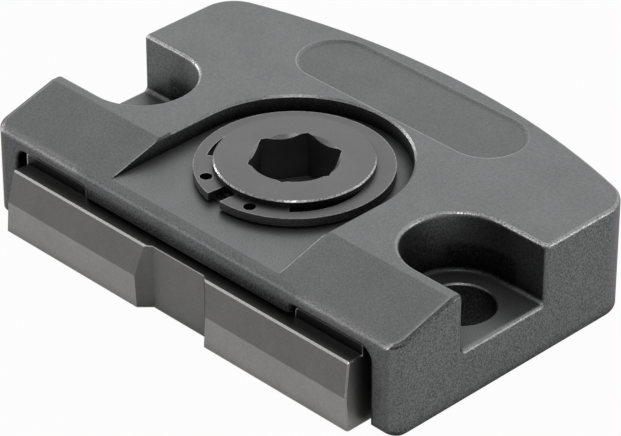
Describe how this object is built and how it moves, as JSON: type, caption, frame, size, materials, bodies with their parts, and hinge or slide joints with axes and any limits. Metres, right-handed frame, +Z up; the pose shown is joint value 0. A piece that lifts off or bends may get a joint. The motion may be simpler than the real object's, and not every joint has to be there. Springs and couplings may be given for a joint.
{
  "type": "flat clamp",
  "caption": "Low-profile side clamp for machine tables: a forged body with open bolt slots, and a wide jaw pushed forward and down by a spiral cam turned with a hexagon key.",
  "frame": {"origin": "on the base plane, on the axis of the cam shaft, midway between the two bolt holes", "axes": "+Z up out of the base, -Y towards the workpiece, +X to the right along the body"},
  "size_m": [0.1154, 0.0807, 0.025],
  "materials": {
    "forged_body": "forged steel, blackened, fine cast grain",
    "ground_jaw": "hardened steel, blackened, ground faces",
    "shaft_steel": "case-hardened steel, blackened, turned",
    "ring_steel": "spring steel, phosphated",
    "shim_steel": "spring steel strip",
    "hardened_steel": "hardened steel, ground bright",
    "screw_steel": "alloy steel, blackened",
    "spring_steel": "spring steel wire",
    "plug_steel": "steel, blackened",
    "cover_steel": "steel plate, blackened",
    "bronze": "sintered bronze"
  },
  "bodies": {
    "clamp_body": {"body": "forged_body", "ring_shim": "shim_steel", "upper_bush": "bronze", "lower_bush": "bronze", "bottom_cover": "cover_steel", "cover_screws": "screw_steel", "stop_pin": "hardened_steel", "guide_bush_left": "bronze", "return_spring_left": "spring_steel", "rear_plug_left": "plug_steel", "guide_bush_right": "bronze", "return_spring_right": "spring_steel", "rear_plug_right": "plug_steel"},
    "cam_shaft": {"cam_shaft": "shaft_steel", "retaining_ring": "ring_steel"},
    "jaw": {"jaw": "ground_jaw", "thrust_pad": "hardened_steel", "thrust_pad_screws": "screw_steel", "guide_pin_left": "hardened_steel", "guide_pin_right": "hardened_steel", "pull_screw_left": "screw_steel", "pull_screw_right": "screw_steel"}
  },
  "joints": [
    {"name": "cam_turn", "type": "hinge", "parent": "clamp_body", "child": "cam_shaft", "pos_m": [0, 0, 0.0125], "axis": [0, 0, -1], "range_deg": [0, 150]},
    {"name": "jaw_slide", "type": "slide", "parent": "clamp_body", "child": "jaw", "axis": [0, -0.9986, -0.0523], "range_m": [0, 0.004], "stiffness_N_per_m": 10700, "springref_m": -0.001, "deforming": ["return_spring_left", "return_spring_right"]}
  ],
  "couplings": [
    {"joint": "cam_turn", "follows": "jaw_slide", "rad_per_m": 654.5}
  ]
}
